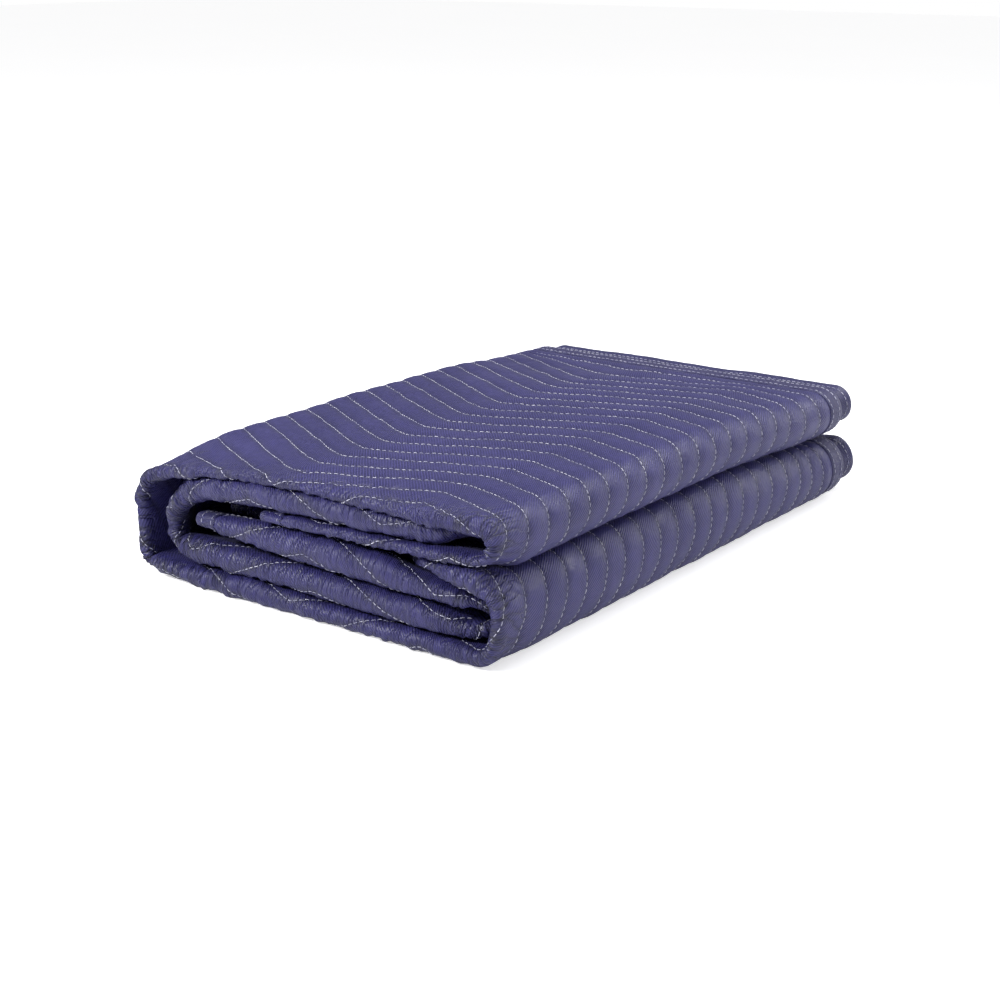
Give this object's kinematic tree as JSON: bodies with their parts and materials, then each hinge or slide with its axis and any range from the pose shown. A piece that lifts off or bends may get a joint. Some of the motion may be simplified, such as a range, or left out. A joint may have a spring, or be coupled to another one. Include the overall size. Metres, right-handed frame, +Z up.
{
  "type": "moving blanket",
  "caption": "Quilted moving blanket with bound edges, folded back and forth and doubled into a flat pack for storing or padding.",
  "frame": {"origin": "middle of the base, at the centre of the bounding box in X and Y", "axes": "X from the spine (-X) to the two rounded folds (+X), Y from the folded edges (-Y) to the bound edges (+Y), Z up"},
  "size_m": [0.3054, 0.4571, 0.0977],
  "materials": {
    "pad": "dull violet-blue woven polyester, quilted",
    "binding_outer": "dull violet-blue woven tape",
    "binding_inner": "dull violet-blue woven tape",
    "binding_upper": "dull violet-blue woven tape",
    "binding_lower": "dull violet-blue woven tape"
  },
  "bodies": {
    "root": {"quilted_pad": "pad", "binding_outer_edge": "binding_outer", "binding_inner_edge": "binding_inner", "binding_upper_end": "binding_upper", "binding_lower_end": "binding_lower"}
  },
  "joints": []
}
